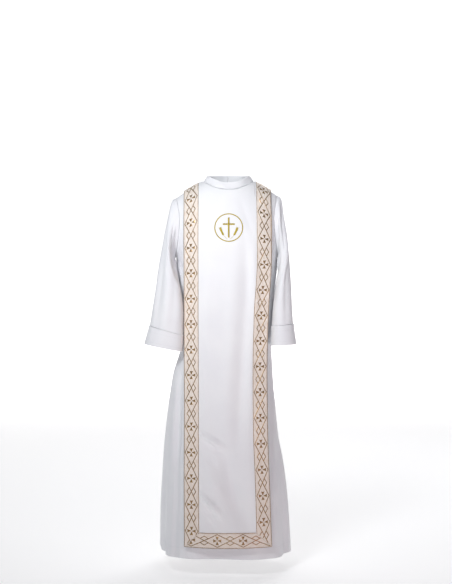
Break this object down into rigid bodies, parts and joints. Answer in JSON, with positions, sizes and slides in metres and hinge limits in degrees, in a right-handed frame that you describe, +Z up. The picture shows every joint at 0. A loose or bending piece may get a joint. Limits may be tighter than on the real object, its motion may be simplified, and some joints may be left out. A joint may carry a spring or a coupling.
{
  "type": "first communion robe",
  "caption": "Long white liturgical robe for a child in its worn, hollow shape, with a standing collar, deep cuffs and a full-length scapular edged in gold galloon",
  "frame": {"origin": "midway between the two neck points of the shoulder seams, where the robe hangs on its wearer", "axes": "+Z is up along the robe; the front faces -Y; +X is the viewer's right seen from the front"},
  "size_m": [0.4484, 0.3824, 1.1234],
  "materials": {
    "white_cloth": "matt white polyester suiting",
    "panel_cloth": "matt white polyester suiting",
    "galloon": "woven cream ribbon with gold lurex lines",
    "gold_thread": "gold embroidery thread"
  },
  "bodies": {
    "root": {"robe_front": "white_cloth", "robe_back_left": "white_cloth", "robe_back_right": "white_cloth", "sleeve_left": "white_cloth", "sleeve_right": "white_cloth", "cuff_left": "white_cloth", "cuff_right": "white_cloth", "collar": "white_cloth", "scapular_front": "panel_cloth", "scapular_back": "panel_cloth", "galloon_front_left": "galloon", "galloon_front_right": "galloon", "galloon_front_hem": "galloon", "galloon_back_left": "galloon", "galloon_back_right": "galloon", "galloon_back_hem": "galloon", "emblem_ring": "gold_thread", "emblem_cross": "gold_thread"}
  },
  "joints": []
}
